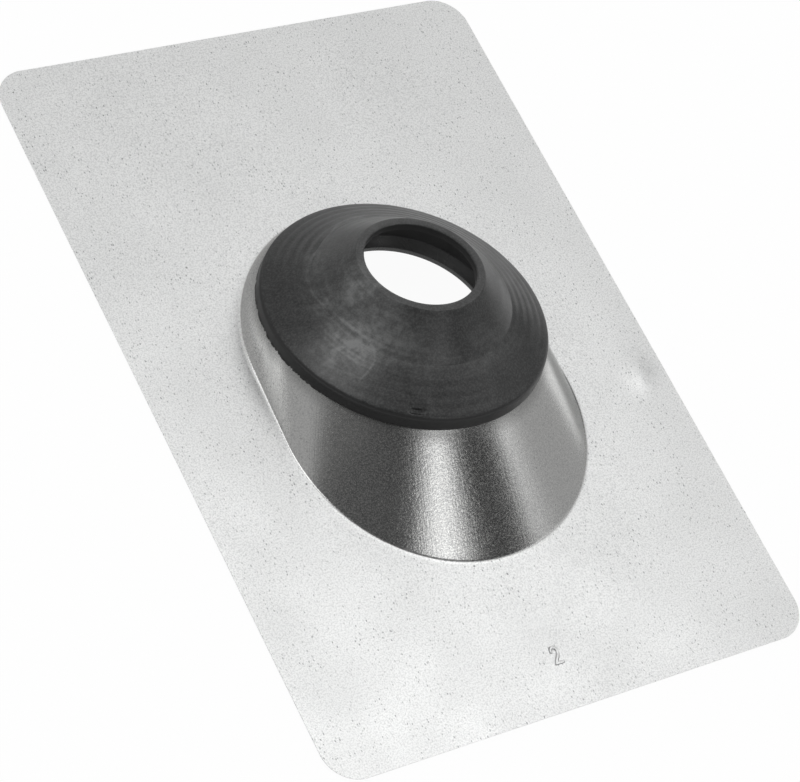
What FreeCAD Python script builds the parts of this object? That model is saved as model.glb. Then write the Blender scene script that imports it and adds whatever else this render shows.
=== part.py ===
import FreeCAD, Part
import math
import os
from FreeCAD import Vector

# Roof flashing boot for a 2 inch vent pipe: one drawn sheet-metal base and one moulded rubber collar.
# Millimetres. The origin is the centre of the flange's underside, which lies on the roof.
# +X runs across the slope, +Y up the slope and +Z out of the roof.

# Flange: the flat sheet that the roofing laps over.
flange_width = 222.25
flange_length = 317.5
flange_corner_radius = 14.0
sheet = 0.5                    # galvanised steel, 26 gauge

# Foot of the dome: where its wall would meet the flange if the bend between them were sharp.
# It has two round ends, joined by straight sides that touch both of them.
foot_lower_spread = 8.1        # how much larger than the rim's radius the down-slope end's is
foot_upper_spread = 6.9
foot_lower_offset = 37.6       # from the hub down the slope to the centre of the down-slope end
foot_upper_offset = 4.2        # from the hub down the slope to the centre of the up-slope end
foot_bend = 4.5                # radius of the bend, on the weather side

# Deck: the round tilted top of the dome, with a short upright rim under it for the collar's hem.
deck_tilt = 11.4               # degrees, leaning up the slope
hub_y = 8.8                    # the hub is the point on the deck's axis level with the collar's hem
rim_radius = 56.9
rim_below_hem = 0.5            # how far the upright rim shows below the hem
deck_height = 3.8              # top of the deck above the hub, along the deck's axis
deck_bend = 2.0                # radius between the rim and the deck
deck_hole_radius = 38.0
side_spread = 10.0             # degrees of the rim that each straight side of the foot runs up to

# Collar: hem, shoulder and lower cone share the deck's axis.
hem_wall = 1.4
hem_clearance = 0.3            # between the upright rim and the hem, and under the shoulder's corner
hem_draft = 0.4                # the hem narrows by this much from its edge to the shoulder
hem_over_flange = 0.52         # gap between the hem's up-slope edge and the flange
shoulder_height = 5.6          # above the hub, measured to the sharp corner
shoulder_round = 2.6
crease_radius = 40.0           # faint ring where the lower cone turns into the steeper neck cone
crease_height = 16.2
cone_wall = 3.4
edge_round = 0.5

# Lip of the collar: it reaches through the deck's hole and grips the sheet from both sides.
lip_radius = 35.0
lip_below = 1.6                # thickness of the lip under the deck
lip_grip = 4.0                 # how far the lip reaches under the deck, outside the hole
lip_top = 4.0                  # height of the lip's inner ledge above the deck
seat_width = 3.5               # width of the collar's flat seat on the deck, outside the hole

# Neck: the ring that grips the vent pipe. It leans a little further up the slope than the deck.
neck_tilt = 13.4               # degrees
neck_height = 29.24            # from the hub to the neck's top face
neck_radius = 25.65
bore_radius = 22.3             # stretched over the pipe, which is 60.3 across
bore_length = 3.0
neck_round = 0.6

overrun = 5.0                  # how far cutting tools run past the faces that they open

# Worked-out sizes and places
foot_lower_radius = rim_radius + foot_lower_spread
foot_upper_radius = rim_radius + foot_upper_spread
foot_lower_y = hub_y - foot_lower_offset
foot_upper_y = hub_y - foot_upper_offset
hem_radius = rim_radius + hem_clearance + hem_wall
shoulder_radius = hem_radius - hem_draft
deck_axis = Vector(0, math.sin(math.radians(deck_tilt)), math.cos(math.radians(deck_tilt)))
deck_upslope = Vector(0, deck_axis.z, -deck_axis.y)
neck_axis = Vector(0, math.sin(math.radians(neck_tilt)), math.cos(math.radians(neck_tilt)))
across = Vector(1, 0, 0)
hub = Vector(0, hub_y, sheet + hem_over_flange + hem_radius * deck_axis.y)
neck_top = hub + neck_axis * neck_height


def deck_point(radius, height):
    """Point in the part's mirror plane, up-slope of the deck's axis."""
    return hub + deck_upslope * radius + deck_axis * height


def ring_point(centre, up, radius, degrees):
    angle = math.radians(degrees)
    return centre + across * (radius * math.cos(angle)) + up * (radius * math.sin(angle))


def arc(centre, up, radius, start, end):
    """Arc about centre in the plane of +X and up, from start to end degrees."""
    middle = (start + end) / 2
    points = [ring_point(centre, up, radius, angle) for angle in (start, middle, end)]
    return Part.Arc(*points).toShape()


def foot_outline(inset, height):
    """Two round ends joined by straight sides, at one height, inset from the sharp foot."""
    lower, lower_radius = Vector(0, foot_lower_y, height), foot_lower_radius - inset
    upper, upper_radius = Vector(0, foot_upper_y, height), foot_upper_radius - inset
    along = Vector(0, 1, 0)
    taper = math.degrees(math.asin((lower_radius - upper_radius) / (foot_upper_y - foot_lower_y)))

    def side(degrees):
        return Part.LineSegment(ring_point(lower, along, lower_radius, degrees),
                                ring_point(upper, along, upper_radius, degrees)).toShape()

    return Part.Wire([
        arc(lower, along, lower_radius, 180 - taper, 360 + taper),
        side(taper),
        arc(upper, along, upper_radius, taper, 180 - taper),
        side(180 - taper),
    ])


def rim_outline(radius, height):
    """Circle about the deck's axis, in four arcs that face the four sides of the foot."""
    centre = hub + deck_axis * height
    cuts = (180 + side_spread, 360 - side_spread, 360 + side_spread, 540 - side_spread, 540 + side_spread)
    return Part.Wire([arc(centre, deck_upslope, radius, a, b) for a, b in zip(cuts, cuts[1:])])


def section(corners):
    """Closed face in the mirror plane from (radius, height, corner round) in the deck's frame."""
    points = [deck_point(radius, height) for radius, height, _ in corners]
    starts, edges = [], []
    for i, (_, _, round_radius) in enumerate(corners):
        corner, before, after = points[i], points[i - 1], points[(i + 1) % len(points)]
        if round_radius == 0:
            starts.append((corner, corner))
            continue
        back = (before - corner).normalize()
        ahead = (after - corner).normalize()
        half = back.getAngle(ahead) / 2
        reach = round_radius / math.tan(half)
        middle = corner + (back + ahead).normalize() * (round_radius / math.sin(half) - round_radius)
        starts.append((corner + back * reach, corner + ahead * reach))
        edges.append(Part.Arc(starts[-1][0], middle, starts[-1][1]).toShape())
    for i, (_, leave) in enumerate(starts):
        arrive = starts[(i + 1) % len(starts)][0]
        edges.append(Part.LineSegment(leave, arrive).toShape())
    return Part.Face(Part.Wire(Part.__sortEdges__(edges)))


def turned(corners):
    """Solid of revolution about the deck's axis."""
    return section(corners).revolve(hub, deck_axis, 360)


def slab(margin, low, high):
    """Flange-shaped plate, larger than the flange by margin on every side."""
    width, length = flange_width + 2 * margin, flange_length + 2 * margin
    plate = Part.makeBox(width, length, high - low, Vector(-width / 2, -length / 2, low))
    uprights = [edge for edge in plate.Edges if abs(edge.BoundBox.ZLength - (high - low)) < 1e-6]
    return plate.makeFillet(flange_corner_radius + margin, uprights)


def deck_circle(radius, height):
    """Circle about the deck's axis."""
    return Part.Wire(Part.makeCircle(radius, hub + deck_axis * height, deck_axis))


def neck_circle(radius, depth):
    """Circle about the neck's axis, at a depth below the neck's top face."""
    return Part.Wire(Part.makeCircle(radius, neck_top - neck_axis * depth, neck_axis))


def lies_on(edge, foot, tolerance=1e-4):
    middle = edge.valueAt((edge.FirstParameter + edge.LastParameter) / 2)
    return foot.distToShape(Part.Vertex(middle))[0] < tolerance


def skin(plate, foot, rim_r, rim_height, deck_top, foot_round, deck_round):
    """Everything below one side of the sheet: plate, sloping wall, upright rim and deck, with bends."""
    wall = Part.makeLoft([foot, rim_outline(rim_r, rim_height)], True, True)
    rim = Part.makeCylinder(rim_r, deck_top - rim_height, hub + deck_axis * rim_height, deck_axis)
    body = plate.fuse([wall, rim]).removeSplitter()
    body = body.makeFillet(foot_round, [edge for edge in body.Edges if lies_on(edge, foot)])
    deck_edge = deck_circle(rim_r, deck_top)
    return body.makeFillet(deck_round, [edge for edge in body.Edges if lies_on(edge, deck_edge)])


def make_metal_base():
    """One blank: flat flange, drawn dome and the hole in its deck, one sheet thick all over."""
    wall_rise = hub.z - rim_below_hem - sheet
    front_run = foot_lower_offset + foot_lower_spread
    side_slope = math.atan2(wall_rise, foot_upper_spread)
    front_slope = math.atan2(wall_rise + rim_radius * deck_axis.y, front_run)
    wall_slope = (side_slope + front_slope) / 2
    foot_inset = sheet * math.tan(wall_slope / 2)
    rim_drop = sheet * math.tan((math.pi / 2 - wall_slope) / 2)
    weather_side = skin(slab(0, -sheet, sheet), foot_outline(0, sheet), rim_radius,
                        -rim_below_hem, deck_height, foot_bend, deck_bend)
    roof_side = skin(slab(overrun, -overrun, 0), foot_outline(foot_inset, 0),
                     rim_radius - sheet, -rim_below_hem - rim_drop, deck_height - sheet,
                     foot_bend + sheet, deck_bend - sheet)
    hole = Part.makeCylinder(deck_hole_radius, deck_height + overrun, hub, deck_axis)
    return weather_side.cut(roof_side).cut(hole)


def make_rubber_collar():
    """Turned lower cone and leaning neck cone, less everything under and inside them."""
    lower_slope = math.atan2(crease_height - shoulder_height, shoulder_radius - crease_radius)
    upper_slope = math.atan2(hub.distanceToPoint(neck_top) - crease_height, crease_radius - neck_radius)
    crease_slope = (lower_slope + upper_slope) / 2
    inner_crease_radius = crease_radius - cone_wall * math.sin(crease_slope)
    inner_crease_height = crease_height - cone_wall * math.cos(crease_slope)
    seat_edge = deck_hole_radius + seat_width
    core_edge = rim_radius - deck_bend - seat_width
    core_height = (crease_height - cone_wall / math.cos(lower_slope)
                   - (seat_edge - crease_radius) * math.tan(lower_slope))
    lip_edge = deck_hole_radius + lip_grip
    under_deck = deck_height - sheet

    lower_cone = turned([
        (0, 0, 0),
        (hem_radius, 0, edge_round),
        (shoulder_radius, shoulder_height, shoulder_round),
        (crease_radius, crease_height, 0),
        (0, crease_height, 0),
    ])
    neck_cone = Part.makeLoft([deck_circle(crease_radius, crease_height),
                               neck_circle(neck_radius, 0)], True, True)

    inside = turned([
        (0, -overrun, 0),
        (rim_radius + hem_clearance, -overrun, 0),
        (rim_radius + hem_clearance, deck_height, deck_bend + hem_clearance),
        (core_edge, deck_height, 0),
        (seat_edge, core_height, edge_round),
        (seat_edge, deck_height, 0),
        (deck_hole_radius, deck_height, 0),
        (deck_hole_radius, under_deck, 0),
        (lip_edge, under_deck, 0),
        (lip_edge, under_deck - lip_below, edge_round),
        (lip_radius, under_deck - lip_below, edge_round),
        (lip_radius, deck_height, edge_round),
        (deck_hole_radius, deck_height + lip_top, edge_round),
        (inner_crease_radius, inner_crease_height, 0),
        (0, inner_crease_height, 0),
    ])
    funnel = Part.makeLoft([deck_circle(inner_crease_radius, inner_crease_height),
                            neck_circle(bore_radius, bore_length)], True, True)
    bore = Part.makeCylinder(bore_radius, bore_length + overrun,
                             neck_top - neck_axis * bore_length, neck_axis)

    collar = lower_cone.fuse(neck_cone).cut([inside, funnel, bore])
    top_edges = [edge for edge in collar.Edges
                 if lies_on(edge, neck_circle(neck_radius, 0)) or lies_on(edge, neck_circle(bore_radius, 0))]
    return collar.makeFillet(neck_round, top_edges)


os.makedirs("parts", exist_ok=True)
for name, shape in (("metal_base", make_metal_base()), ("rubber_collar", make_rubber_collar())):
    solid = shape.Solids[0]
    print(name, "solids", len(shape.Solids), "valid", solid.isValid(), "volume", round(solid.Volume, 1))
    solid.exportStep("parts/" + name + ".step")
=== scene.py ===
import math
import bpy
import bmesh
import numpy as np
from mathutils import Matrix, Vector, noise


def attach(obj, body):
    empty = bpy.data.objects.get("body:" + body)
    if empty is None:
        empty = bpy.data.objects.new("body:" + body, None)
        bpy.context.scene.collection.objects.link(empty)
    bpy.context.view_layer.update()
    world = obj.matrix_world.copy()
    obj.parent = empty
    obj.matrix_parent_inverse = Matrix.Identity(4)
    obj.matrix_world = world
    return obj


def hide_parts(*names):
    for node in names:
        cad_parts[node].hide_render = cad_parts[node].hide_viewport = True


# Roof flashing boot: a galvanised sheet base with a drawn dome, and the rubber collar that seats on it.
# Lengths in the settings are millimetres, apart from the studio's and the two looks', which are metres.
# Meshes are written in metres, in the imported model's own frame.

mm = 0.001
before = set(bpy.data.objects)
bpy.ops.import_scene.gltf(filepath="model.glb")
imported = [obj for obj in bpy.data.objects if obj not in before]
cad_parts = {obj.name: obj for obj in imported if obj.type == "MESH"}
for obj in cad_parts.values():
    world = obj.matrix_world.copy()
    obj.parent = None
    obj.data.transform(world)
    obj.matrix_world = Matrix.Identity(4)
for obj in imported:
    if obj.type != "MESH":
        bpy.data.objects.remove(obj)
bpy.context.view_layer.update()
bodyName = "root"

# Sizes that both pieces share.
boot = dict(
    sheet=0.5,               # thickness of the galvanised blank
    hubY=8.8,                # the hub: on the deck's axis, level with the collar's hem
    deckTilt=11.4,           # degrees up the slope
    neckTilt=13.4,
    rimRadius=56.9,
    hemRadius=58.6,
    hemOverFlange=0.52,
)
tiltSin = math.sin(math.radians(boot["deckTilt"]))
tiltCos = math.cos(math.radians(boot["deckTilt"]))
hub = np.array([0, boot["hubY"], boot["sheet"] + boot["hemOverFlange"] + boot["hemRadius"] * tiltSin])
across = np.array([1.0, 0.0, 0.0])
deckAxis = np.array([0.0, tiltSin, tiltCos])
deckUpslope = np.array([0.0, tiltCos, -tiltSin])


def smooth(low, high, value):
    t = np.clip((np.asarray(value, float) - low) / (high - low), 0, 1)
    return t * t * (3 - 2 * t)


def softHill(x, y, cx, cy, rx, ry, turn, rise):
    c, s = math.cos(math.radians(turn)), math.sin(math.radians(turn))
    u = ((x - cx) * c + (y - cy) * s) / rx
    v = (-(x - cx) * s + (y - cy) * c) / ry
    return rise * np.exp(-(u * u + v * v))


def direction(azimuth, elevation):  # unit vector of two angles in degrees
    a, e = math.radians(azimuth), math.radians(elevation)
    return Vector((math.cos(a) * math.cos(e), math.sin(a) * math.cos(e), math.sin(e)))


def addObject(name, data):
    obj = bpy.data.objects.new(name, data)
    bpy.context.scene.collection.objects.link(obj)
    return obj


def shadeSmooth(mesh, sharpAngle=35):
    mesh.polygons.foreach_set("use_smooth", [True] * len(mesh.polygons))
    mesh.set_sharp_from_angle(angle=math.radians(sharpAngle))


def storeValues(mesh, name, values):  # one number for each point
    mesh.attributes.new(name, "FLOAT", "POINT").data.foreach_set("value", values)


def applyModifiers(obj):  # leaves the piece as one plain mesh
    graph = bpy.context.evaluated_depsgraph_get()
    mesh = bpy.data.meshes.new_from_object(obj.evaluated_get(graph), depsgraph=graph)
    obj.modifiers.clear()
    obj.data = mesh
    return mesh


def newMaterial(name):
    material = bpy.data.materials.new(name)
    material.use_nodes = True
    return material, material.node_tree, material.node_tree.nodes["Principled BSDF"]


def put(tree, kind, **settings):  # a node, with its properties or socket values set
    node = tree.nodes.new(kind)
    for key, value in settings.items():
        if hasattr(node, key):
            setattr(node, key, value)
        else:
            node.inputs[key.replace("_", " ")].default_value = value
    return node


def ramp(tree, source, low, high, lowOut=0.0, highOut=1.0, kind="SMOOTHSTEP"):
    node = tree.nodes.new("ShaderNodeMapRange")
    node.interpolation_type = kind
    for key, value in (("From Min", low), ("From Max", high), ("To Min", lowOut), ("To Max", highOut)):
        node.inputs[key].default_value = value
    tree.links.new(source, node.inputs["Value"])
    return node.outputs["Result"]


def calc(tree, operation, a, b=0.0, clamp=False):
    node = tree.nodes.new("ShaderNodeMath")
    node.operation = operation
    node.use_clamp = clamp
    for socket, value in zip(node.inputs, (a, b)):
        if isinstance(value, (int, float)):
            socket.default_value = value
        else:
            tree.links.new(value, socket)
    return node.outputs[0]


def times(tree, first, *others):
    for other in others:
        first = calc(tree, "MULTIPLY", first, other)
    return first


def bell(tree, squared):  # falls off from 1 with the square of a distance
    return calc(tree, "EXPONENT", times(tree, squared, -1.0))


def attribute(tree, name):
    return put(tree, "ShaderNodeAttribute", attribute_name=name).outputs["Fac"]


def split(tree, vector):  # the three parts of a vector
    node = tree.nodes.new("ShaderNodeSeparateXYZ")
    tree.links.new(vector, node.inputs[0])
    return node.outputs


def tint(tree, amount, base, other, blend="MIX"):  # colour mix of sockets or plain values
    node = put(tree, "ShaderNodeMix", data_type="RGBA", blend_type=blend)
    for socket, value in ((node.inputs[0], amount), (node.inputs[6], base), (node.inputs[7], other)):
        if isinstance(value, bpy.types.NodeSocket):
            tree.links.new(value, socket)
        elif isinstance(value, (int, float)):
            socket.default_value = value
        else:
            socket.default_value = (*value, 1)
    return node.outputs[2]


def noiseNode(tree, vector, scale, detail=3.0, roughness=0.55, distortion=0.0):
    node = put(tree, "ShaderNodeTexNoise", Scale=scale, Detail=detail, Roughness=roughness,
               Distortion=distortion)
    tree.links.new(vector, node.inputs["Vector"])
    return node.outputs["Fac"]


def stretched(tree, vector, scale):
    node = put(tree, "ShaderNodeMapping", Scale=scale)
    tree.links.new(vector, node.inputs["Vector"])
    return node.outputs["Vector"]


def bump(tree, height, strength, distance, under=None):
    node = put(tree, "ShaderNodeBump", Strength=strength, Distance=distance)
    tree.links.new(height, node.inputs["Height"])
    if under is not None:
        tree.links.new(under, node.inputs["Normal"])
    return node.outputs["Normal"]


def seenDirectly(tree):  # 1 for camera, glossy and transmission rays
    rays = tree.nodes.new("ShaderNodeLightPath").outputs
    mirrored = calc(tree, "MAXIMUM", rays["Is Glossy Ray"], rays["Is Transmission Ray"])
    return calc(tree, "MAXIMUM", rays["Is Camera Ray"], mirrored)


def blendShaders(tree, share, first, second, output):
    mix = tree.nodes.new("ShaderNodeMixShader")
    for socket, source in zip(mix.inputs, (share, first.outputs[0], second.outputs[0])):
        tree.links.new(source, socket)
    tree.links.new(mix.outputs[0], output.inputs["Surface"])


# Camera and light.
studio = dict(
    cameraPlace=(-0.607206, -0.419846, 0.884560),
    cameraForward=(0.524423, 0.354008, -0.774377),
    cameraUp=(0.210319, 0.827432, 0.520694),
    lens=132.58, sensorWidth=36.0, clipRange=(0.05, 50),
    ambient=0.78,            # world radiance for diffuse light
    floorSize=8.0, floorDrop=0.0006, floorColor=(0.9, 0.9, 0.9), floorRoughness=0.9,
    floorWhite=0.95,         # share of plain white over the shaded floor, which keeps its shadows
    tentRadius=3.0,
    tentStep=0.04,           # each later reflector stands this much further in
    panelSteps=(64, 24),
    lampAim=(0, 0, 0.01),
)

# Soft-edged reflectors and flags round the table, seen only in reflections: (azimuth, elevation) ranges in
# degrees from +X, the width of their soft edges, and their brightness.
reflectors = dict(
    lowRoomWall=dict(azimuth=(60, 394), elevation=(-30, 37), edge=(10, 8), light=0.43),
    tallRoomWall=dict(azimuth=(-24, 110), elevation=(26, 50), edge=(14, 10), light=0.52, bottomEdge=6),
    leftRoomWall=dict(azimuth=(78, 192), elevation=(30, 84), edge=(14, 5), light=0.42),
    farWindow=dict(azimuth=(30, 58), elevation=(-4, 24), edge=(8, 6), light=2.1, bottomEdge=3),
    flagBehindTable=dict(azimuth=(-188, -81), elevation=(36, 86), edge=(13, 5), light=0.12),
    flagBesideTable=dict(azimuth=(-60, -26), elevation=(37, 72), edge=(5, 5), light=0.05),
    brightStrip=dict(azimuth=(-86, -60), elevation=(44, 66), edge=(5, 4), light=1.9, bottomEdge=5),
    flagAboveTable=dict(azimuth=(-130, -14), elevation=(62, 87), edge=(10, 3), light=0.08, bottomEdge=4),
    flagFarSide=dict(azimuth=(5, 30), elevation=(-8, 26), edge=(8, 6), light=0.08, bottomEdge=4),
)


def makeCamera():
    forward, up = Vector(studio["cameraForward"]), Vector(studio["cameraUp"])
    right = forward.cross(up).normalized()
    up = right.cross(forward).normalized()
    turn = Matrix((right, up, -forward.normalized())).transposed()
    data = bpy.data.cameras.new("camera")
    data.lens = studio["lens"]
    data.sensor_width = studio["sensorWidth"]
    data.clip_start, data.clip_end = studio["clipRange"]
    camera = addObject("camera", data)
    camera.matrix_world = Matrix.Translation(studio["cameraPlace"]) @ turn.to_4x4()
    bpy.context.scene.camera = camera


def makeWorld():
    world = bpy.data.worlds.new("paleStudio")
    bpy.context.scene.world = world
    world.use_nodes = True
    tree = world.node_tree
    tree.nodes.clear()
    soft = put(tree, "ShaderNodeBackground", Color=(1, 1, 1, 1), Strength=studio["ambient"])
    white = put(tree, "ShaderNodeBackground", Color=(1, 1, 1, 1), Strength=1.0)
    blendShaders(tree, seenDirectly(tree), soft, white, tree.nodes.new("ShaderNodeOutputWorld"))


def makeFloor():
    material, tree, shader = newMaterial("whiteTable")
    shader.inputs["Base Color"].default_value = (*studio["floorColor"], 1)
    shader.inputs["Roughness"].default_value = studio["floorRoughness"]
    shader.inputs["Specular IOR Level"].default_value = 0.0
    white = put(tree, "ShaderNodeEmission", Strength=1.0)
    share = times(tree, seenDirectly(tree), studio["floorWhite"])
    blendShaders(tree, share, shader, white, tree.nodes["Material Output"])
    half, drop = studio["floorSize"] / 2, -studio["floorDrop"]
    mesh = bpy.data.meshes.new("tableTop")
    corners = [(x * half, y * half, drop) for x, y in ((-1, -1), (1, -1), (1, 1), (-1, 1))]
    mesh.from_pydata(corners, [], [(0, 1, 2, 3)])
    mesh.materials.append(material)
    addObject("tableTop", mesh)


def makeReflector(name, radius, azimuth, elevation, edge, light, bottomEdge=0.0):
    columns, rows = studio["panelSteps"]
    points, veil, faces = [], [], []
    for j in range(rows + 1):
        for i in range(columns + 1):
            a = azimuth[0] + (azimuth[1] - azimuth[0]) * i / columns
            e = elevation[0] + (elevation[1] - elevation[0]) * j / rows
            points.append(direction(a, e) * radius)
            sides = min(a - azimuth[0], azimuth[1] - a) / edge[0]
            ends = (elevation[1] - e) / edge[1]
            if bottomEdge:
                ends = min(ends, (e - elevation[0]) / bottomEdge)
            veil.append(float(smooth(0, 1, sides) * smooth(0, 1, ends)))
    wide = columns + 1
    for j in range(rows):
        for i in range(columns):
            faces.append((j * wide + i, j * wide + i + 1, (j + 1) * wide + i + 1, (j + 1) * wide + i))
    mesh = bpy.data.meshes.new(name)
    mesh.from_pydata(points, [], faces)
    storeValues(mesh, "veil", veil)
    material, tree, shader = newMaterial(name)
    tree.nodes.remove(shader)
    glow = put(tree, "ShaderNodeEmission", Strength=light)
    clear = tree.nodes.new("ShaderNodeBsdfTransparent")
    blendShaders(tree, attribute(tree, "veil"), clear, glow, tree.nodes["Material Output"])
    mesh.materials.append(material)
    panel = addObject(name, mesh)
    panel.visible_camera = panel.visible_diffuse = panel.visible_shadow = False
    panel.visible_transmission = False


def makeLamp(name, azimuth, elevation, distance, size, watts):
    data = bpy.data.lights.new(name, "AREA")
    data.shape = "RECTANGLE"
    data.size, data.size_y = size
    data.energy = watts
    lamp = addObject(name, data)
    aim = Vector(studio["lampAim"])
    place = aim + distance * direction(azimuth, elevation)
    lamp.location = place
    lamp.rotation_euler = (aim - place).to_track_quat("-Z", "Y").to_euler()


lamps = dict(
    leftBox=dict(azimuth=148, elevation=62, distance=1.5, size=(0.7, 0.7), watts=2.4),
    farBox=dict(azimuth=10, elevation=66, distance=1.6, size=(0.5, 0.5), watts=1.85),
)

bpy.context.scene.view_settings.view_transform = "Standard"
makeCamera()
makeWorld()
makeFloor()
for place, (reflectorName, values) in enumerate(reflectors.items()):
    makeReflector(reflectorName, studio["tentRadius"] - studio["tentStep"] * place, **values)
for lampName, values in lamps.items():
    makeLamp(lampName, **values)
print("camera, table and lights are in place")


# The galvanised base: one pressed sheet, from the deck's hole out to the rounded edge of the flange.
flashingBase = dict(
    width=222.25, length=317.5, cornerRadius=14.0,
    holeRadius=38.0, deckHeight=3.8, deckBend=2.0,
    rimBelowHem=0.5,
    rimSoftening=0.45,       # the crease between the upright rim and the sloping wall
    footLowerRadius=65.0, footLowerY=-28.8,
    footUpperRadius=63.8, footUpperY=4.6,
    footBend=4.5, sideSpread=10.0,
    around=480,              # points round every ring
    cornerSteps=26, deckSteps=5, rimBendSteps=6, wallSteps=22, footBendSteps=9, flangeSteps=30,
    flangeCrowding=0.55,     # how much closer together the flange's rings lie beside the dome
    drawnAtFoot=0.45,        # how far the metal was drawn, 1 on the dome and 0 on the flange
    flowWidth=0.38,          # metres round the dome, for patterns that follow the metal
    domeMiddleY=-12.0,
    domeReach=(67.0, 82.0, 84.0),            # from that middle sideways, up the slope and down it
    wavesFrom=(1.03, 1.5),   # shares of that reach between which the sheet's waves begin
    waveHeight=0.26,         # slow waves of the sheet, all upwards
    waveLength=(70.0, 100.0),
    fineWaveHeight=0.05,
    fineWaveLength=(24.0, 30.0),
    waveSeeds=(3.7, 9.1),
)


def ringOfFoot(count):
    # Foot and rim points that face each other, going round from the left side along the low end.
    f = flashingBase
    taper = math.asin((f["footLowerRadius"] - f["footUpperRadius"]) / (f["footUpperY"] - f["footLowerY"]))
    spread = math.radians(f["sideSpread"])
    lower = (f["footLowerY"], f["footLowerRadius"])
    upper = (f["footUpperY"], f["footUpperRadius"])
    end, side = 0.42, 0.08   # shares of the points on each end and each side
    spans = (
        (end, lower, lower, math.pi - taper, 2 * math.pi + taper, math.pi + spread, 2 * math.pi - spread),
        (side, lower, upper, taper, taper, -spread, spread),
        (end, upper, upper, taper, math.pi - taper, spread, math.pi - spread),
        (side, upper, lower, math.pi - taper, math.pi - taper, math.pi - spread, math.pi + spread),
    )
    foot, outward, turn = [], [], []
    for share, (y0, r0), (y1, r1), a0, a1, t0, t1 in spans:
        steps = round(count * share)
        for i in range(steps):
            t = i / steps
            angle = a0 + (a1 - a0) * t
            y, r = y0 + (y1 - y0) * t, r0 + (r1 - r0) * t
            way = np.array([math.cos(angle), math.sin(angle), 0.0])
            foot.append(np.array([0, y, boot["sheet"]]) + way * r)
            outward.append(way)
            turn.append(t0 + (t1 - t0) * t)
    return np.array(foot), np.array(outward), np.array(turn)


def ringOfDeck(turn, radius, height):
    c, s = np.cos(turn)[:, None], np.sin(turn)[:, None]
    return hub + deckAxis * height + radius * (across * c + deckUpslope * s)


def ringOfEdge(foot):
    # The flange's rounded outline, cut into as many steps as the foot, close together at the corners.
    f = flashingBase
    w, l, r, steps = f["width"] / 2, f["length"] / 2, f["cornerRadius"], f["cornerSteps"]
    outline = []
    for cx, cy, start in ((-1, -1, 180), (1, -1, 270), (1, 1, 0), (-1, 1, 90)):
        for k in range(steps + 1):
            a = math.radians(start + 90 * k / steps)
            outline.append((cx * (w - r) + r * math.cos(a), cy * (l - r) + r * math.sin(a)))
    outline = np.array(outline)
    # where each foot point's own radius from the middle of the dome meets the outline
    middleY = f["domeMiddleY"]
    bearing = np.unwrap(np.arctan2(foot[:, 1] - middleY, foot[:, 0]))
    corner = np.unwrap(np.arctan2(outline[:, 1] - middleY, outline[:, 0]))
    corner += 2 * math.pi * round((bearing[0] - corner[0]) / (2 * math.pi))
    count = len(foot)
    taken = {}
    for k, a in enumerate(corner):                  # each outline corner point takes the nearest free place
        place = int(np.argmin(np.abs((bearing - a + math.pi) % (2 * math.pi) - math.pi)))
        while place % count in taken:
            place += 1
        taken[place % count] = k
    points = np.zeros((count, 2))
    order = sorted(taken)
    for here, after in zip(order, order[1:] + [order[0] + count]):
        p, q = outline[taken[here]], outline[taken[after % count]]
        for i in range(here, after):
            points[i % count] = p + (q - p) * (i - here) / (after - here)
    return np.column_stack([points, np.full(count, boot["sheet"])])


def sheetWaves(x, y):
    # Soft unevenness of a thin sheet that has been pressed and handled.
    def waves(lengths, seed):
        return np.array([noise.noise(Vector((a / lengths[0], b / lengths[1], seed))) for a, b in zip(x, y)])

    f = flashingBase
    slow, fine = waves(f["waveLength"], f["waveSeeds"][0]), waves(f["fineWaveLength"], f["waveSeeds"][1])
    return f["waveHeight"] * (0.5 + slow) + f["fineWaveHeight"] * fine


# Places where the flange was knocked or creased: centre, reach along and across, turn in degrees, height.
dents = (
    dict(cx=98.5, cy=-35, rx=5.2, ry=7.5, turn=-28, rise=0.70),
    dict(cx=-98, cy=20, rx=12, ry=40, turn=4, rise=0.12),
    dict(cx=30, cy=-140, rx=40, ry=8, turn=3, rise=0.10),
    dict(cx=60, cy=120, rx=30, ry=30, turn=0, rise=0.15),
)


def raiseFlange(points):
    # Waves and dents lift the sheet, and die out towards the dome.
    f, x, y = flashingBase, points[:, 0], points[:, 1]
    wide, up, down = f["domeReach"]
    fromMiddle = y - f["domeMiddleY"]
    fromDome = np.hypot(x / wide, fromMiddle / np.where(fromMiddle > 0, up, down))
    lift = sheetWaves(x, y) + sum(softHill(x, y, **dent) for dent in dents)
    return np.maximum(lift, 0.0) * smooth(*f["wavesFrom"], fromDome)


# A plain size figure pressed up into the flange near its low end: its strokes run from its own middle.
numeral = dict(
    place=(-2.0, -137.0), stroke=0.55, height=0.50, soft=0.36,
    cuts=9, patch=(4.0, 5.5),                # how finely the sheet is cut round it, and how far each way
    path=((-1.4, 1.8), (-1.2, 2.7), (-0.6, 3.3), (0.3, 3.3), (1.1, 2.7), (1.4, 1.7), (1.2, 0.7),
          (0.6, -0.4), (-0.5, -1.6), (-1.5, -3.1), (1.6, -3.1)),
)


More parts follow.
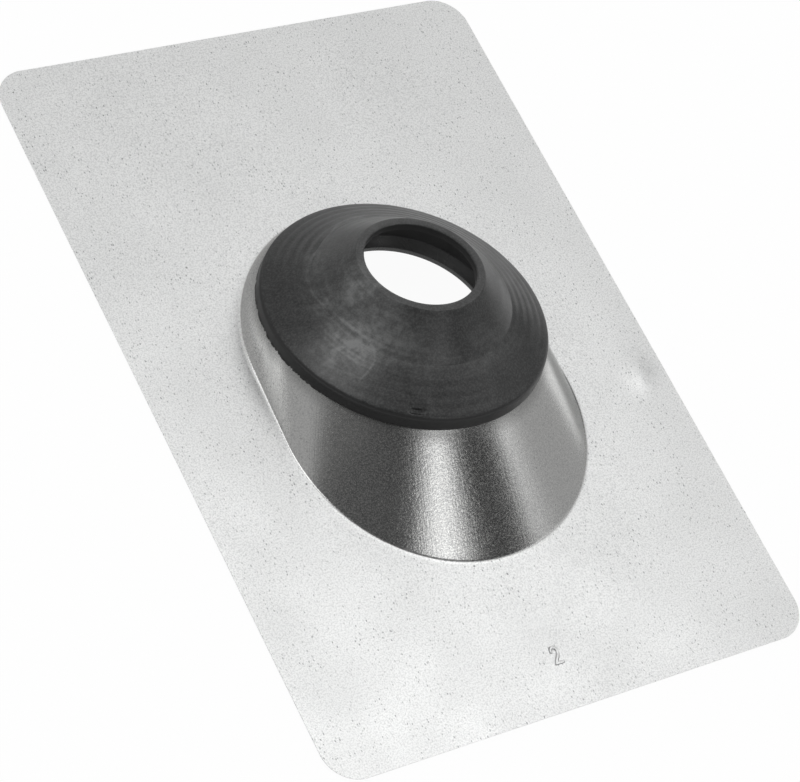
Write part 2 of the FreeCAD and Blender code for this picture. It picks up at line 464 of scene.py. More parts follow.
def pressNumeral(mesh):
    # Cuts the flange's faces round the figure finely, then lifts what lies under its strokes.
    middle = np.array(numeral["place"])

    def nearby(place):
        p = np.array([place.x, place.y]) / mm - middle
        return p, bool(np.all(np.abs(p) < numeral["patch"]))

    fine = bmesh.new()
    fine.from_mesh(mesh)
    edges = {edge for face in fine.faces if nearby(face.calc_center_median())[1] for edge in face.edges}
    edges = sorted(edges, key=lambda edge: edge.index)
    bmesh.ops.subdivide_edges(fine, edges=edges, cuts=numeral["cuts"], use_grid_fill=True)
    path = [np.array(p) for p in numeral["path"]]
    low, high = numeral["stroke"] - numeral["soft"] / 2, numeral["stroke"] + numeral["soft"] / 2
    for vert in fine.verts:
        p, inside = nearby(vert.co)
        if not inside:
            continue
        gaps = []
        for a, b in zip(path, path[1:]):
            t = np.clip(np.dot(p - a, b - a) / np.dot(b - a, b - a), 0, 1)
            gaps.append(float(np.linalg.norm(p - a - (b - a) * t)))
        vert.co.z += numeral["height"] * (1 - float(smooth(low, high, min(gaps)))) * mm
    fine.to_mesh(mesh)
    fine.free()


def baseRings():
    # Rings of points from the deck's hole out to the flange's edge, each with how far its metal was drawn.
    f = flashingBase
    foot, outward, turn = ringOfFoot(f["around"])
    rim, deck, bend, soft = boot["rimRadius"], f["deckHeight"], f["deckBend"], f["rimSoftening"]
    low = -f["rimBelowHem"]
    rings = [ringOfDeck(turn, r, deck) for r in np.linspace(f["holeRadius"], rim - bend, f["deckSteps"])]
    for k in range(1, f["rimBendSteps"] + 1):
        a = math.pi / 2 * k / f["rimBendSteps"]
        rings.append(ringOfDeck(turn, rim - bend + bend * math.sin(a), deck - bend + bend * math.cos(a)))
    rimFoot = ringOfDeck(turn, rim, low)
    slope = foot - rimFoot
    length = np.linalg.norm(slope, axis=1)
    slope /= length[:, None]
    rings.append(rimFoot + deckAxis * (deck - bend - low) * 0.5)
    for t in (0.0, 0.25, 0.5, 0.75, 1.0):           # the softened crease under the rim
        rings.append(rimFoot + deckAxis * soft * (1 - t) ** 2 + slope * soft * t * t)
    rise = np.arcsin(np.clip(-slope[:, 2], 0.01, 1))
    reach = f["footBend"] * np.tan(rise / 2)
    stop = np.maximum(length - reach, soft + 0.2)
    for k in range(1, f["wallSteps"] + 1):
        rings.append(rimFoot + slope * (soft + (stop - soft) * k / f["wallSteps"])[:, None])
    drawn = [1.0] * len(rings)
    for k in range(1, f["footBendSteps"] + 1):
        t = k / f["footBendSteps"]
        rings.append(foot - slope * ((1 - t) ** 2 * reach)[:, None] + outward * (t * t * reach)[:, None])
        drawn.append(1.0 - (1.0 - f["drawnAtFoot"]) * t)
    flatStart = foot + outward * reach[:, None]
    edge = ringOfEdge(foot)
    for k in range(1, f["flangeSteps"] + 1):
        t = k / f["flangeSteps"]
        t = f["flangeCrowding"] * t * t + (1 - f["flangeCrowding"]) * t
        rings.append(flatStart * (1 - t) + edge * t)
        drawn.append(f["drawnAtFoot"] * (1 - float(smooth(0, 0.25, t))))
    return np.array(rings), drawn


def storeFlow(mesh, rings):
    # sheetFlow follows the metal: u runs round the dome, v runs down its wall and out over the flange
    count = rings.shape[1]
    run = np.vstack([np.zeros(count), np.cumsum(np.linalg.norm(np.diff(rings, axis=0), axis=2), axis=0)])
    index = np.zeros(len(mesh.loops), int)
    mesh.loops.foreach_get("vertex_index", index)
    column, line = index % count, index // count
    u = column / count
    face = np.repeat(np.arange(len(mesh.polygons)), 4)
    u[(column == 0) & (face % count == count - 1)] = 1.0
    flow = np.column_stack([u * flashingBase["flowWidth"], run[line, column] * mm])
    mesh.uv_layers.new(name="sheetFlow").data.foreach_set("uv", flow.astype(np.float32).ravel())


def makeFlashingBase(material):
    rings, drawn = baseRings()
    rows, count = rings.shape[:2]
    top = rings.reshape(-1, 3).copy()
    flat = np.repeat(np.arange(rows), count) >= rows - flashingBase["flangeSteps"]
    top[flat, 2] += raiseFlange(top[flat])
    faces = []
    for j in range(rows - 1):
        a, b = j * count, (j + 1) * count
        for i in range(count):
            n = (i + 1) % count
            faces.append((a + i, b + i, b + n, a + n))
    mesh = bpy.data.meshes.new("flashing_base")
    mesh.from_pydata([tuple(p) for p in top * mm], [], faces)
    mesh.validate()
    mesh.materials.append(material)
    shadeSmooth(mesh)
    storeValues(mesh, "drawn", np.repeat(drawn, count))
    storeFlow(mesh, rings)
    pressNumeral(mesh)
    base = addObject("flashing_base", mesh)
    wall = base.modifiers.new("sheetThickness", "SOLIDIFY")
    wall.thickness = boot["sheet"] * mm
    wall.offset = -1
    wall.use_even_offset = True
    wall.use_quality_normals = True
    shadeSmooth(applyModifiers(base))
    return base


zincLook = dict(
    sheetColor=(0.83, 0.835, 0.83), cloudColor=(0.79, 0.795, 0.79), cloudScale=26,
    wallColor=(0.70, 0.70, 0.685),
    grainColor=(0.46, 0.465, 0.465), grainScale=1500, grainBump=(0.22, 0.00008),
    sparkScale=950, sparkBump=(0.34, 0.00009),
    pepperColor=(0.24, 0.245, 0.25), pepperScale=1900,
    speckColor=(0.16, 0.165, 0.17), patchScale=60,
    shortSpecks=dict(scale=1000, rarity=0.45, size=0.30), shortSpeckStretch=(1, 0.5, 1),
    roundSpecks=dict(scale=260, rarity=0.84, size=0.15),
    lineScale=(1300, 60, 1), lineBump=(0.20, 0.00012),       # draw lines down the dome's wall
    openMiddleY=-0.012, openFrom=(-66, -52), openTo=(-8, 34),   # bearings of the wall where the zinc opened
    # the band below the rim is worn dull, and its colour there is darkened as painted shade under the hem
    rubbedAndShadedBand=(0.0225, 0.0305), underHemShadeColor=(0.62, 0.62, 0.62), rubbedRoughness=0.07,
    flangeRoughness=0.42, wallRoughness=0.17,
)


def specks(tree, place, scale, rarity, size):
    # small dark dots: the middles of some cells, with ragged edges
    wobble = noiseNode(tree, place, scale * 3, 2, 0.6)
    cell = put(tree, "ShaderNodeTexVoronoi", Scale=scale)
    tree.links.new(place, cell.inputs["Vector"])
    chance = put(tree, "ShaderNodeSeparateColor")
    tree.links.new(cell.outputs["Color"], chance.inputs["Color"])
    reach = calc(tree, "ADD", cell.outputs["Distance"], times(tree, wobble, size))
    dot = ramp(tree, reach, size * 0.9, size * 1.5, 1.0, 0.0)
    deep = ramp(tree, chance.outputs["Green"], 0.0, 1.0, 0.35, 1.0)
    chosen = ramp(tree, chance.outputs["Red"], rarity, rarity + 0.05)
    return times(tree, dot, deep, chosen)


def makeZinc():
    z = zincLook
    material, tree, shader = newMaterial("galvanisedSheet")
    place = tree.nodes.new("ShaderNodeTexCoord").outputs["Object"]
    flow = put(tree, "ShaderNodeUVMap", uv_map="sheetFlow").outputs["UV"]
    drawn = attribute(tree, "drawn")
    wall = ramp(tree, drawn, 0.45, 0.95)
    # the zinc was stretched open on the steep wall at the low end, and worn dull below the rim, where its
    # colour is also darkened as painted shade under the hem
    axes = split(tree, place)
    bearing = calc(tree, "ARCTAN2", axes[0], calc(tree, "SUBTRACT", z["openMiddleY"], axes[1]))
    opened = times(tree, ramp(tree, bearing, *map(math.radians, z["openFrom"])),
                   ramp(tree, bearing, *map(math.radians, z["openTo"]), 1.0, 0.12), wall)
    rubbedAndShaded = ramp(tree, split(tree, flow)[1], *z["rubbedAndShadedBand"], 1.0, 0.0)

    cloud = noiseNode(tree, place, z["cloudScale"], 3, 0.5)
    grain = noiseNode(tree, place, z["grainScale"], 3, 0.75)
    spark = noiseNode(tree, place, z["sparkScale"], 2, 0.8)
    colour = tint(tree, ramp(tree, cloud, 0.3, 0.7), z["sheetColor"], z["cloudColor"])
    colour = tint(tree, wall, colour, z["wallColor"])
    colour = tint(tree, ramp(tree, grain, 0.44, 0.60, 0.0, 0.50), colour, z["grainColor"])
    pepper = ramp(tree, noiseNode(tree, place, z["pepperScale"], 1, 0.8), 0.40, 0.60, 0.60, 0.0)
    pepper = times(tree, pepper, calc(tree, "ADD", times(tree, opened, 0.85), 0.10))
    colour = tint(tree, pepper, colour, z["pepperColor"])
    # painted shade: the wall's colour is darkened in a band just under the hem
    colour = tint(tree, times(tree, rubbedAndShaded, wall), colour, z["underHemShadeColor"], "MULTIPLY")
    short = specks(tree, stretched(tree, place, z["shortSpeckStretch"]), **z["shortSpecks"])
    dots = calc(tree, "MAXIMUM", short, specks(tree, place, **z["roundSpecks"]))
    patchy = ramp(tree, noiseNode(tree, place, z["patchScale"], 3, 0.6), 0.35, 0.62, 0.35, 1.0)
    fewer = ramp(tree, drawn, 0.45, 0.95, 1.0, 0.5)
    colour = tint(tree, times(tree, dots, times(tree, patchy, fewer)), colour, z["speckColor"])
    tree.links.new(colour, shader.inputs["Base Color"])

    shader.inputs["Metallic"].default_value = 1.0
    dull, bright = z["flangeRoughness"], z["wallRoughness"]
    flangeGloss = ramp(tree, cloud, 0.3, 0.7, dull - 0.015, dull + 0.02, "LINEAR")
    wallGloss = ramp(tree, spark, 0.3, 0.7, bright - 0.03, bright + 0.05, "LINEAR")
    wallGloss = calc(tree, "ADD", wallGloss, times(tree, rubbedAndShaded, z["rubbedRoughness"]))
    gloss = put(tree, "ShaderNodeMix", data_type="FLOAT")
    for k, source in ((0, wall), (2, flangeGloss), (3, wallGloss)):
        tree.links.new(source, gloss.inputs[k])
    tree.links.new(gloss.outputs[0], shader.inputs["Roughness"])

    drawLines = noiseNode(tree, stretched(tree, flow, z["lineScale"]), 1.0, 2, 0.6)
    normal = bump(tree, grain, *z["grainBump"])
    normal = bump(tree, times(tree, spark, opened), *z["sparkBump"], normal)
    normal = bump(tree, times(tree, drawLines, wall), *z["lineBump"], normal)
    tree.links.new(normal, shader.inputs["Normal"])
    return material


base = makeFlashingBase(makeZinc())
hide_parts("metal_base")
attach(base, bodyName)
print("flashing base:", len(base.data.polygons), "faces")


# The rubber collar: Geometry Nodes turn a closed profile about the hub, leaning from the deck's axis at the
# hem to the neck's at the top, and raise or sink its small marks on the way.
rubberCollar = dict(
    around=600,
    fineStep=0.66,           # distance between profile points on the outside
    coarseStep=4.0,
    mergeDistance=0.005,     # closes the seam where the turn ends
    shoulderHeight=5.6, shoulderRound=2.6,
    creaseRadius=40.0, creaseHeight=16.2, creaseSoftening=3.2,
    neckRadius=25.65, neckHeight=29.24, neckRound=0.6,
    boreRadius=22.3, boreLength=3.0,
    innerCrease=(37.99, 13.46),
    ledgeHeight=7.8,
    lipRadius=35.0, lipBottom=1.7, lipTop=3.8, lipReach=42.0,
    grooveTop=3.3, grooveRadius=38.0, seatInner=41.5, seatTop=11.39,
    seatOuter=51.4, hemInside=57.2, hemInsideRound=2.3, hemDraft=0.4,
    edgeRound=0.5, boreRound=0.25, innerCreaseRound=1.2,
    lastOutsideCorner=4,     # the section's corners up to the bore's top edge are seen
    ringSpacing=3.7, ringHeight=0.13,        # faint rings left by the mould, plainest on the far side
    ringBearing=62.0, ringsFrom=(27.0, 31.0), ringsTo=(54.5, 56.5), ringsFull=(37.0, 41.0),
)

# Where the mould's insert met the rest, a line that stands a little proud: bearing in degrees and radius.
mouldLine = (
    (83, 42.5), (94, 43.5), (105, 41.6), (115, 39.8), (131, 39.2), (142, 40.8), (151, 41.8), (165, 41.6),
    (175, 40.2), (183, 39.1), (196, 38.6), (206, 38.4), (213, 39.0), (217.3, 40.6), (219.6, 43.5),
    (219.1, 47.4), (217.5, 51.0), (211.8, 51.2), (206.7, 52.0),
)

collarMarks = dict(
    lineHeight=0.13, lineWidth=0.75, lineSteps=6, unrolledRadius=45.0,
    hollowDepth=0.35, hollowBearing=209.0, hollowRadius=46.0, hollowSize=(7.5, 5.0),
    slotDepth=1.0, slotBearing=243.0, slotRadius=56.0, slotSize=(2.9, 1.0),
    notchDepth=0.5, flash=0.25, notchFrom=118.0, notchTo=214.0, notchFade=14.0, notchSize=1.0,
    waviness=0.07, waveSize=16.0,
    seed=11.0,
)


def sectionCorners():
    # The closed section's corners: radius, height, rounding and share of the neck's lean.
    c, hem, e = rubberCollar, boot["hemRadius"], rubberCollar["edgeRound"]
    return (
        (hem, 0.0, e, 0), (hem - c["hemDraft"], c["shoulderHeight"], c["shoulderRound"], 0),
        (c["creaseRadius"], c["creaseHeight"], c["creaseSoftening"], 0),
        (c["neckRadius"], c["neckHeight"], c["neckRound"], 1),
        (c["boreRadius"], c["neckHeight"], c["neckRound"], 1),
        (c["boreRadius"], c["neckHeight"] - c["boreLength"], c["boreRound"], 1),
        (*c["innerCrease"], c["innerCreaseRound"], 0), (c["grooveRadius"], c["ledgeHeight"], e, 0),
        (c["lipRadius"], c["lipTop"], e, 0), (c["lipRadius"], c["lipBottom"], e, 0),
        (c["lipReach"], c["lipBottom"], e, 0), (c["lipReach"], c["grooveTop"], 0.0, 0),
        (c["grooveRadius"], c["grooveTop"], 0.0, 0), (c["grooveRadius"], c["lipTop"], 0.0, 0),
        (c["seatInner"], c["lipTop"], 0.0, 0), (c["seatInner"], c["seatTop"], e, 0),
        (c["seatOuter"], c["lipTop"], 0.0, 0), (c["hemInside"], c["lipTop"], c["hemInsideRound"], 0),
        (c["hemInside"], 0.0, 0.0, 0),
    )


def roundCorners(corners):
    # Each point of the rounded section keeps the number of its corner.
    path = []
    for k, (r, h, bend, lean) in enumerate(corners):
        here = np.array([r, h, lean], float)
        if bend <= 0:
            path.append((here, k))
            continue
        before, after = (np.array(corners[n])[[0, 1, 3]] for n in (k - 1, (k + 1) % len(corners)))
        a, b = before - here, after - here
        la, lb = np.linalg.norm(a[:2]), np.linalg.norm(b[:2])
        half = 0.5 * math.acos(np.clip(np.dot(a[:2], b[:2]) / (la * lb), -1, 1))
        reach = min(bend / math.tan(half), 0.49 * la, 0.49 * lb)
        steps = 8 if bend > 1 else 4
        for i in range(steps + 1):
            t = i / steps
            path.append((here + a / la * reach * (1 - t) ** 2 + b / lb * reach * t * t, k))
    return path


def roundedProfile():
    # The section in short steps, with each point's outward direction and the values that the tree reads.
    c = rubberCollar
    path = roundCorners(sectionCorners())
    points, outside = [], []
    for (p, k), (q, kNext) in zip(path, path[1:] + path[:1]):
        outer = max(k, kNext) <= c["lastOutsideCorner"]
        step = c["fineStep"] if outer else c["coarseStep"]
        pieces = max(1, int(math.ceil(np.linalg.norm((q - p)[:2]) / step)))
        for i in range(pieces):
            points.append(p + (q - p) * i / pieces)
            outside.append(1.0 if outer else 0.0)
    points, outside = np.array(points + points[:1]), np.array(outside + outside[:1])
    radius, height, lean = points.T
    along = np.roll(points[:-1, :2], -1, axis=0) - np.roll(points[:-1, :2], 1, axis=0)
    along /= np.maximum(np.linalg.norm(along, axis=1), 1e-9)[:, None]
    outward = np.column_stack([along[:, 1], -along[:, 0]])
    outward = np.vstack([outward, outward[:1]])
    rings = outside * smooth(*c["ringsFrom"], radius) * (1 - smooth(*c["ringsTo"], radius))
    rings *= 0.35 + 0.65 * smooth(*c["ringsFull"], radius)
    phase = 2 * math.pi * radius / c["ringSpacing"]
    ringLift = rings * (np.sin(phase) + 0.25 * np.sin(2.3 * phase + 1.0) - 0.6)
    hemEdge = np.where(radius > boot["hemRadius"] - 0.9, 1 - smooth(0.3, 1.3, height), 0)
    return points, outward, dict(outside=outside, lean=lean, hemEdge=hemEdge, ringLift=ringLift)


def lineObject(name, points):
    mesh = bpy.data.meshes.new(name)
    mesh.from_pydata(points, [(i, i + 1) for i in range(len(points) - 1)], [])
    return addObject(name, mesh)


def makeProfile():
    points, outward, shares = roundedProfile()
    profile = lineObject("collarProfile", [(r * mm, 0, h * mm) for r, h in points[:, :2]])
    for name, values in shares.items():
        storeValues(profile.data, name, values.astype(np.float32))
    wide = np.insert(outward, 1, 0.0, axis=1).astype(np.float32)
    profile.data.attributes.new("outward", "FLOAT_VECTOR", "POINT").data.foreach_set("vector", wide.ravel())
    return profile


def makeMouldLine():
    # The line lies in the unrolled cone: bearing times a mean radius, and the radius itself.
    steps, mean = collarMarks["lineSteps"], collarMarks["unrolledRadius"]
    fine = []
    for (a0, r0), (a1, r1) in zip(mouldLine, mouldLine[1:]):
        fine += [(a0 + (a1 - a0) * i / steps, r0 + (r1 - r0) * i / steps) for i in range(steps)]
    fine.append(mouldLine[-1])
    return lineObject("mouldLine", [(math.radians(a) * mean * mm, r * mm, 0) for a, r in fine])


def collarInputs(profile, line, material):
    # The tree's inputs by name: kind of socket and value, lengths in metres.
    c, m = rubberCollar, collarMarks
    inputs = {
        "Profile": ("Object", profile), "Mould Line": ("Object", line), "Material": ("Material", material),
        "Steps Around": ("Int", c["around"]), "Hub": ("Vector", tuple(hub * mm)),
    }
    for name, size in (("Hollow Size", m["hollowSize"]), ("Slot Size", m["slotSize"])):
        inputs[name] = ("Vector", (size[0] * mm, size[1] * mm, mm))
    lengths = {
        "Ring Height": c["ringHeight"], "Line Height": m["lineHeight"], "Line Width": m["lineWidth"],
        "Unrolled Radius": m["unrolledRadius"], "Hollow Depth": m["hollowDepth"],
        "Hollow Radius": m["hollowRadius"], "Slot Depth": m["slotDepth"], "Slot Radius": m["slotRadius"],
        "Notch Depth": m["notchDepth"], "Flash": m["flash"], "Waviness": 2 * m["waviness"],
        "Merge Distance": c["mergeDistance"],
    }
    others = {
        "Deck Tilt": boot["deckTilt"], "Neck Tilt": boot["neckTilt"], "Ring Bearing": c["ringBearing"],
        "Hollow Bearing": m["hollowBearing"], "Slot Bearing": m["slotBearing"], "Notch From": m["notchFrom"],
        "Notch To": m["notchTo"], "Notch Fade": m["notchFade"], "Notch Scale": 1 / (m["notchSize"] * mm),
        "Wave Scale": 1 / (m["waveSize"] * mm), "Seed": m["seed"],
    }
    inputs.update({name: ("Float", value * mm) for name, value in lengths.items()})
    inputs.update({name: ("Float", value) for name, value in others.items()})
    return inputs


class CollarTree:
    # A Geometry Nodes tree with short ways to add a node and link its inputs.
    def __init__(self, name, inputs):
        self.tree = bpy.data.node_groups.new(name, "GeometryNodeTree")
        self.tree.interface.new_socket("Geometry", in_out="OUTPUT", socket_type="NodeSocketGeometry")
        for inputName, (kind, _) in inputs.items():
            self.tree.interface.new_socket(inputName, in_out="INPUT", socket_type="NodeSocket" + kind)
        self.given = self.tree.nodes.new("NodeGroupInput").outputs

    def add(self, kind, links=(), output=0, **settings):
        node = self.tree.nodes.new(kind)
        for key, value in settings.items():
            setattr(node, key, value)
        for place, value in dict(links).items():
            socket = node.inputs[place]
            if isinstance(value, bpy.types.NodeSocket):
                self.tree.links.new(value, socket)
            else:
                socket.default_value = value
        return node.outputs[output]

    def math(self, operation, a, b=0.0):
        return self.add("ShaderNodeMath", {0: a, 1: b}, operation=operation)

    def times(self, first, *others):
        for other in others:
            first = self.math("MULTIPLY", first, other)
        return first

    def combine(self, x, y, z):
        return self.add("ShaderNodeCombineXYZ", {0: x, 1: y, 2: z})

    def plus(self, a, b):  # sum of two vectors
        return self.add("ShaderNodeVectorMath", {0: a, 1: b}, operation="ADD")

    def scaled(self, vector, factor):
        return self.add("ShaderNodeVectorMath", {0: vector, 3: factor}, operation="SCALE")

    def fade(self, value, low, high, lowOut, highOut):
        links = {0: value, 1: low, 2: high, 3: lowOut, 4: highOut}
        return self.add("ShaderNodeMapRange", links, interpolation_type="SMOOTHSTEP")

    def sample(self, geometry, value, index, kind="FLOAT"):
        if isinstance(value, str):
            value = self.add("GeometryNodeInputNamedAttribute", {0: value}, data_type=kind)
        links = {0: geometry, 1: value, 2: index}
        return self.add("GeometryNodeSampleIndex", links, data_type=kind, domain="POINT")

    def noise(self, place, scale, detail):
        links = {"Vector": place, "W": self.given["Seed"], "Scale": scale, "Detail": detail}
        return self.add("ShaderNodeTexNoise", links, noise_dimensions="4D")

    def away(self, mark, angle, radius, power):
        # distance from a mark's middle in shares of its size; the power squares up its outline
        bearing, middle, size = (self.given[mark + end] for end in (" Bearing", " Radius", " Size"))
        turn = self.math("SUBTRACT", angle, self.math("RADIANS", bearing))
        sizes = split(self.tree, size)
        u = self.math("ABSOLUTE", self.math("DIVIDE", self.times(turn, middle), sizes[0]))
        v = self.math("ABSOLUTE", self.math("DIVIDE", self.math("SUBTRACT", radius, middle), sizes[1]))
        total = self.math("ADD", self.math("POWER", u, power), self.math("POWER", v, power))
        return self.math("POWER", total, 1 / power)


def collarTree(inputs):
    g = CollarTree("turnedCollar", inputs)
    given = g.given
    profile = g.add("GeometryNodeObjectInfo", {"Object": given["Profile"]}, output="Geometry")
    line = g.add("GeometryNodeObjectInfo", {"Object": given["Mould Line"]}, output="Geometry")
    rows = g.add("GeometryNodeAttributeDomainSize", {0: profile}, component="MESH")
    columns = g.math("ADD", given["Steps Around"], 1.0)
    grid = g.add("GeometryNodeMeshGrid", {"Vertices X": columns, "Vertices Y": rows})
    index = g.add("GeometryNodeInputIndex")
    row = g.math("FLOORED_MODULO", index, rows)
    column = g.math("FLOOR", g.math("DIVIDE", g.math("ADD", index, 0.5), rows))
    angle = g.times(g.math("DIVIDE", column, given["Steps Around"]), 2 * math.pi)
    cosine, sine = g.math("COSINE", angle), g.math("SINE", angle)

    place = g.sample(profile, g.add("GeometryNodeInputPosition"), row, "FLOAT_VECTOR")
    outward = g.sample(profile, "outward", row, "FLOAT_VECTOR")
    outside, lean, hemEdge, ringLift = (g.sample(profile, name, row)
                                        for name in ("outside", "lean", "hemEdge", "ringLift"))
    sides = split(g.tree, place)
    radius, height = sides[0], sides[2]
    local = g.combine(g.times(radius, cosine), g.times(radius, sine), height)

    # the mould line stands proud of the unrolled cone; the hollow and the slot are sunk
    unrolled = g.combine(g.times(angle, given["Unrolled Radius"]), radius, 0.0)
    links = {"Geometry": line, "Sample Position": unrolled}
    apart = g.add("GeometryNodeProximity", links, output="Distance", target_element="EDGES")
    onLine = g.fade(apart, 0.0, given["Line Width"], 1.0, 0.0)
    hollow = g.fade(g.away("Hollow", angle, radius, 2.0), 0.0, 1.6, 1.0, 0.0)
    slot = g.fade(g.away("Slot", angle, radius, 4.0), 0.7, 1.15, 1.0, 0.0)
    sunk = g.math("ADD", g.times(hollow, given["Hollow Depth"]), g.times(slot, given["Slot Depth"]))

    # slow waves, and the rings, which fade away from their own bearing
    wave = g.noise(local, given["Wave Scale"], 2.0)
    wave = g.times(g.math("SUBTRACT", wave, 0.5), given["Waviness"])
    facing = g.math("COSINE", g.math("SUBTRACT", angle, g.math("RADIANS", given["Ring Bearing"])))
    ringed = g.times(ringLift, g.times(g.fade(facing, -0.2, 0.75, 0.16, 1.0), given["Ring Height"]))
    marks = g.math("ADD", g.times(onLine, given["Line Height"]), g.math("ADD", wave, ringed))
    marks = g.times(g.math("SUBTRACT", marks, sunk), outside)

    # nicks along the hem's lower edge, on the side that was trimmed
    degrees = g.math("DEGREES", angle)
    first, last, fade = (given["Notch " + end] for end in ("From", "To", "Fade"))
    begin = g.fade(degrees, first, g.math("ADD", first, fade), 0.0, 1.0)
    end = g.fade(degrees, g.math("SUBTRACT", last, fade), last, 1.0, 0.0)
    span = g.times(begin, end, hemEdge)
    nick = g.fade(g.noise(local, given["Notch Scale"], 1.0), 0.47, 0.56, 0.0, 1.0)
    nick = g.times(nick, given["Notch Depth"])
    flash = g.times(g.math("SUBTRACT", given["Flash"], g.times(nick, 0.6)), span)
    trimmed = g.combine(flash, 0.0, g.times(nick, span))

    # the section is spun round the deck's axis, and leans over towards the neck's
    moved = split(g.tree, g.plus(place, g.plus(g.scaled(outward, marks), trimmed)))
    spun = g.combine(g.times(moved[0], cosine), g.times(moved[0], sine), moved[2])
    tilt = g.times(lean, g.math("SUBTRACT", given["Neck Tilt"], given["Deck Tilt"]))
    tilt = g.times(g.math("RADIANS", g.math("ADD", given["Deck Tilt"], tilt)), -1.0)
    leant = g.add("ShaderNodeVectorRotate", {"Vector": spun, "Angle": tilt}, rotation_type="X_AXIS")
    shape = g.add("GeometryNodeSetPosition", {"Geometry": grid, "Position": g.plus(leant, given["Hub"])})
    stored = dict(sideRadius=radius, sideOut=outside, sideHem=hemEdge, sideHeight=height, sideLine=onLine)
    for name, value in stored.items():
        links = {"Geometry": shape, "Name": name, "Value": value}
        shape = g.add("GeometryNodeStoreNamedAttribute", links, data_type="FLOAT", domain="POINT")
    links = {"Geometry": shape, "Distance": given["Merge Distance"]}
    shape = g.add("GeometryNodeMergeByDistance", links)
    shape = g.add("GeometryNodeRealizeInstances", {"Geometry": shape})
    shape = g.add("GeometryNodeSetMaterial", {"Geometry": shape, "Material": given["Material"]})
    g.tree.links.new(shape, g.tree.nodes.new("NodeGroupOutput").inputs[0])
    return g.tree


def makeCollar(material):
    profile, line = makeProfile(), makeMouldLine()
    inputs = collarInputs(profile, line, material)
    collar = addObject("pipe_collar", bpy.data.meshes.new("pipe_collar"))
    modifier = collar.modifiers.new("turned", "NODES")
    modifier.node_group = collarTree(inputs)
    for item in modifier.node_group.interface.items_tree:
        if item.in_out == "INPUT":
            modifier[item.identifier] = inputs[item.name][1]
    mesh = applyModifiers(collar)
    for helper in (profile, line):
        bpy.data.objects.remove(helper)
    outwards = bmesh.new()
    outwards.from_mesh(mesh)
    bmesh.ops.recalc_face_normals(outwards, faces=outwards.faces)
    outwards.to_mesh(mesh)
    outwards.free()
    shadeSmooth(mesh, sharpAngle=38)
    return collar


rubberLook = dict(
    # the darker inside colour also paints the hem's outside and its lower edge as shade
    color=(0.0066, 0.0068, 0.0068), insideAndHemShadeColor=(0.004, 0.004, 0.004), roughness=0.34,
    # the pale colour serves both for bloom and for painted highlight; its shares on the mould line and on
    # the neck's edges are painted highlight
    paleBloomAndHighlightColor=(0.15, 0.153, 0.152), bloomEverywhere=0.07, highlightOnMouldLine=0.34, highlightOnNeckEdges=0.08,
    cloudScale=70, fineScale=1300, scuffScale=330, bandScale=(620, 1, 1),
    grainScale=2200, grainBump=(0.25, 0.00008),
    neckEdgeHighlights=dict(neckRadius=(-0.15, 0.35), boreRadius=(0.25, 0.25)),   # painted highlight along the neck's two top edges: how far out and how wide, in mm
    hemBand=(0.0572, 0.0580),                # radii over which the hem's outside begins, which is painted dark as shade
    ridgeReach=(0.0001, 0.0006), ledgeHeights=(0.0077, 0.0081), ledgeRadii=(0.0376, 0.0382),
)

# Patches of thicker pale bloom; those on the cone's left side also stand in for light falling there, as
# painted highlight. Each: bearing in degrees, radius, reach each way and share of the pale colour.
bloomAndHighlightPatches = (
    dict(bearing=186, radius=29, reach=(24, 10), share=0.62),
    dict(bearing=203, radius=43, reach=(15, 6.5), share=0.80),
    dict(bearing=206, radius=52, reach=(20, 8), share=0.40),
    dict(bearing=222, radius=36, reach=(26, 7), share=0.28),
    dict(bearing=285, radius=39, reach=(34, 5), share=0.20),
    dict(bearing=150, radius=39, reach=(30, 5), share=0.26),
    dict(bearing=95, radius=34, reach=(20, 12), share=0.35),
)


def offBy(tree, value, middle, reach):  # signed distance in shares of a reach
    return calc(tree, "DIVIDE", calc(tree, "SUBTRACT", value, middle), reach)


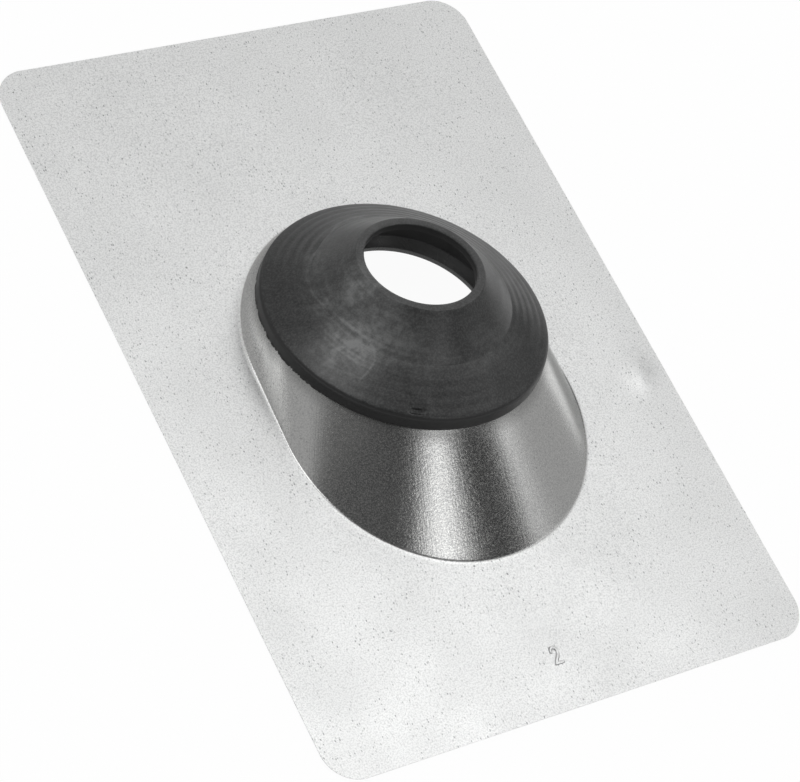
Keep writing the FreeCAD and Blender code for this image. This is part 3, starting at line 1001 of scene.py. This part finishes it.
def makeRubber():
    look = rubberLook
    material, tree, shader = newMaterial("blackRubber")
    place = tree.nodes.new("ShaderNodeTexCoord").outputs["Object"]
    radius, height, outer, hemEdge, line = (attribute(tree, name) for name in (
        "sideRadius", "sideHeight", "sideOut", "sideHem", "sideLine"))
    inside = calc(tree, "SUBTRACT", 1.0, outer)
    fromHub = put(tree, "ShaderNodeVectorMath", operation="SUBTRACT")
    tree.links.new(place, fromHub.inputs[0])
    fromHub.inputs[1].default_value = tuple(hub * mm)
    tilt = math.radians(boot["deckTilt"])
    upright = put(tree, "ShaderNodeVectorRotate", rotation_type="X_AXIS", Angle=tilt)
    tree.links.new(fromHub.outputs[0], upright.inputs["Vector"])
    sides = split(tree, upright.outputs[0])
    bearing = calc(tree, "FLOORED_MODULO", calc(tree, "ARCTAN2", sides[1], sides[0]), 2 * math.pi)
    cloud = noiseNode(tree, place, look["cloudScale"], 5, 0.65, 0.8)
    fine = noiseNode(tree, place, look["fineScale"], 3, 0.7)
    scuff = noiseNode(tree, place, look["scuffScale"], 4, 0.7)
    along = tree.nodes.new("ShaderNodeCombineXYZ")
    tree.links.new(radius, along.inputs[0])
    bands = noiseNode(tree, stretched(tree, along.outputs[0], look["bandScale"]), 1.0, 3, 0.6)

    # a pale bloom in soft clouds, drawn out round the cone; on the cone's left side, along the mould line
    # and at the neck's top edges it is laid on thicker as painted highlight
    bloomAndHighlightShare = calc(tree, "ADD", look["bloomEverywhere"], times(tree, line, look["highlightOnMouldLine"]))
    for p in bloomAndHighlightPatches:
        u = offBy(tree, bearing, math.radians(p["bearing"]), math.radians(p["reach"][0]))
        v = offBy(tree, radius, p["radius"] * mm, p["reach"][1] * mm)
        far = calc(tree, "ADD", times(tree, u, u), times(tree, v, v))
        bloomAndHighlightShare = calc(tree, "ADD", bloomAndHighlightShare, times(tree, bell(tree, far), p["share"]))
    # painted highlight: the neck's top is painted pale along both of its edges
    for edge, (inset, reach) in look["neckEdgeHighlights"].items():
        off = offBy(tree, radius, (rubberCollar[edge] + inset) * mm, reach * mm)
        edgeHighlight = bell(tree, times(tree, off, off))
        bloomAndHighlightShare = calc(tree, "ADD", bloomAndHighlightShare, times(tree, edgeHighlight, look["highlightOnNeckEdges"]))
    bloomAndHighlight = times(tree, ramp(tree, cloud, 0.32, 0.70, 0.40, 1.25), ramp(tree, bands, 0.3, 0.7, 0.7, 1.15),
                  ramp(tree, scuff, 0.3, 0.7, 0.6, 1.35), bloomAndHighlightShare)
    bloomAndHighlight = calc(tree, "MULTIPLY", bloomAndHighlight, outer, clamp=True)
    colour = tint(tree, bloomAndHighlight, look["color"], look["paleBloomAndHighlightColor"])
    colour = tint(tree, ramp(tree, fine, 0.40, 0.68, 0.0, 0.20), colour, look["paleBloomAndHighlightColor"])
    # the inside takes the darker inside colour; so do the hem's outside band and its lower edge, as painted
    # shade of the gap over the metal
    hem = times(tree, ramp(tree, radius, *look["hemBand"], 1.0, 0.1), calc(tree, "SUBTRACT", 1.0, hemEdge))
    colour = tint(tree, times(tree, outer, hem), look["insideAndHemShadeColor"], colour)
    # inside, a pale line is painted along the crease's ridge as a highlight, and the ledge over the lip is
    # painted paler
    ridge = calc(tree, "SUBTRACT", height, (rubberCollar["innerCrease"][1] + 0.1) * mm)
    ridge = ramp(tree, calc(tree, "ABSOLUTE", ridge), *look["ridgeReach"], 0.8, 0.0)
    ledge = times(tree, ramp(tree, height, *look["ledgeHeights"], 0.5, 0.0),
                  ramp(tree, radius, *look["ledgeRadii"], 1.0, 0.0))
    inner = times(tree, calc(tree, "MAXIMUM", ridge, ledge), inside)
    colour = tint(tree, inner, colour, look["paleBloomAndHighlightColor"])
    tree.links.new(colour, shader.inputs["Base Color"])
    gloss = ramp(tree, cloud, 0.3, 0.7, look["roughness"] - 0.04, look["roughness"] + 0.08, "LINEAR")
    gloss = calc(tree, "ADD", gloss, times(tree, inside, calc(tree, "SUBTRACT", 0.40, inner)))
    tree.links.new(gloss, shader.inputs["Roughness"])
    grain = noiseNode(tree, place, look["grainScale"], 2, 0.6)
    tree.links.new(bump(tree, grain, *look["grainBump"]), shader.inputs["Normal"])
    return material


collar = makeCollar(makeRubber())
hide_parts("rubber_collar")
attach(collar, bodyName)
print("rubber collar:", len(collar.data.polygons), "faces")
